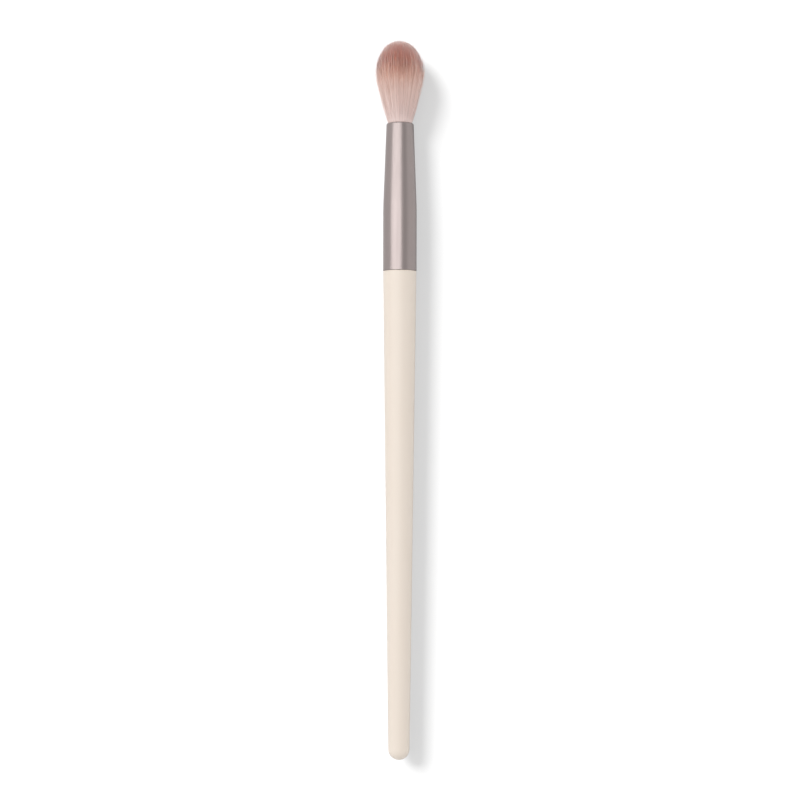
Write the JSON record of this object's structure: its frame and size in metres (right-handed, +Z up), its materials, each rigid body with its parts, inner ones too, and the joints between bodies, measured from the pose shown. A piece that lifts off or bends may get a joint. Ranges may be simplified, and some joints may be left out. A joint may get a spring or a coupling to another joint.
{
  "type": "eyeshadow blending brush",
  "caption": "Slim round makeup brush: tapered lacquered wooden handle, satin metal ferrule that narrows to its mouth, and a fluffy domed tuft of soft hair that bends and springs back.",
  "frame": {"origin": "under the middle of the brush, on the surface that the belly of the hair rests on", "axes": "+Y along the brush from the butt of the handle to the tip of the hair, +Z up from the surface"},
  "size_m": [0.0116, 0.175, 0.0117],
  "materials": {
    "handle_wood": "bare turned wood",
    "cream_lacquer": "smooth satin cream lacquer",
    "glue": "cured glue",
    "taupe_metal": "satin anodised taupe",
    "epoxy": "cured epoxy",
    "thread": "wound thread",
    "root_hair": "packed soft hair",
    "tuft_hair": "soft hair, pale at the root and rose-brown at the tip"
  },
  "bodies": {
    "handle": {"handle_core": "handle_wood", "handle_lacquer": "cream_lacquer", "tenon_glue": "glue", "ferrule": "taupe_metal", "root_epoxy": "epoxy", "binding_thread": "thread", "bristle_root": "root_hair"},
    "tuft": {"bristle_tuft": "tuft_hair"}
  },
  "joints": [
    {"name": "tuft_bend", "type": "hinge", "parent": "handle", "child": "tuft", "pos_m": [0, 0.0688, 0.00585], "axis": [0, 0, 1], "range_deg": [-30, 30], "stiffness_Nm_per_rad": 0.007}
  ]
}
